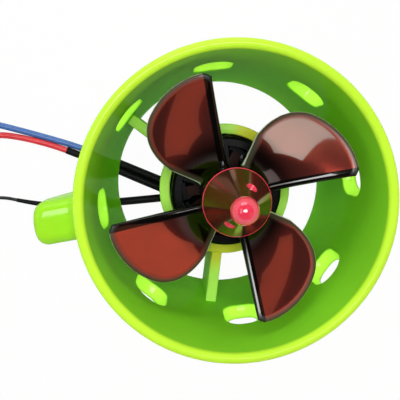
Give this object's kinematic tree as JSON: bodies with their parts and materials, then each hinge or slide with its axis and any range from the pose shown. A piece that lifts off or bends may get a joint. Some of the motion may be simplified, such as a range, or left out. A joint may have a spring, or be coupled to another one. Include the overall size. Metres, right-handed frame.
{
  "type": "underwater thruster",
  "caption": "Ducted underwater thruster: windowed nozzle with a mounting lug, outrunner motor in a strut-held pod, propeller with spinner, and coiled motor leads.",
  "frame": {"origin": "on the thruster's axis, in the flat tail face that it stands on", "axes": "+Z along the axis, from the tail to the intake; -X towards the mounting lug and the leads"},
  "size_m": [0.1288, 0.0853, 0.0731],
  "materials": {
    "lime_nozzle": "gloss",
    "green_pod": "gloss",
    "brass": "satin",
    "black_rubber": "matte",
    "dark_aluminium": "satin",
    "steel": "satin",
    "lamination": "satin",
    "winding": "gloss",
    "black_can": "gloss",
    "magnet": "satin",
    "red_metal": "gloss",
    "pink_ball": "gloss",
    "shrink_sleeve": "satin",
    "blue_insulation": "satin",
    "red_insulation": "satin",
    "black_insulation": "satin"
  },
  "bodies": {
    "housing": {"nozzle": "lime_nozzle", "lug_inserts": "brass", "motor_pod": "green_pod", "lead_grommet": "black_rubber", "motor_base": "dark_aluminium", "base_screws": "steel", "rear_bearing_outer": "steel", "front_bearing_outer": "steel", "stator_core": "lamination", "stator_windings": "winding", "blue_sleeve": "shrink_sleeve", "blue_lead": "blue_insulation", "blue_coil": "blue_insulation", "blue_tie": "black_rubber", "blue_bullet": "brass", "red_sleeve": "shrink_sleeve", "red_lead": "red_insulation", "red_coil": "red_insulation", "red_tie": "black_rubber", "red_bullet": "brass", "black_sleeve": "shrink_sleeve", "black_lead": "black_insulation", "black_coil": "black_insulation", "black_tie": "black_rubber", "black_bullet": "brass"},
    "rotor": {"motor_shaft": "steel", "shaft_clip": "steel", "rear_bearing_inner": "steel", "front_bearing_inner": "steel", "flux_ring": "black_can", "rotor_magnets": "magnet", "rotor_bell": "black_can", "prop_spacer": "dark_aluminium", "drive_pin": "steel", "propeller": "red_metal", "spinner_nut": "red_metal", "spinner_ball": "pink_ball"}
  },
  "joints": [
    {"name": "rotor_spin", "type": "hinge", "parent": "housing", "child": "rotor", "pos_m": [0, 0, 0.03], "axis": [0, 0, 1], "continuous": true}
  ]
}
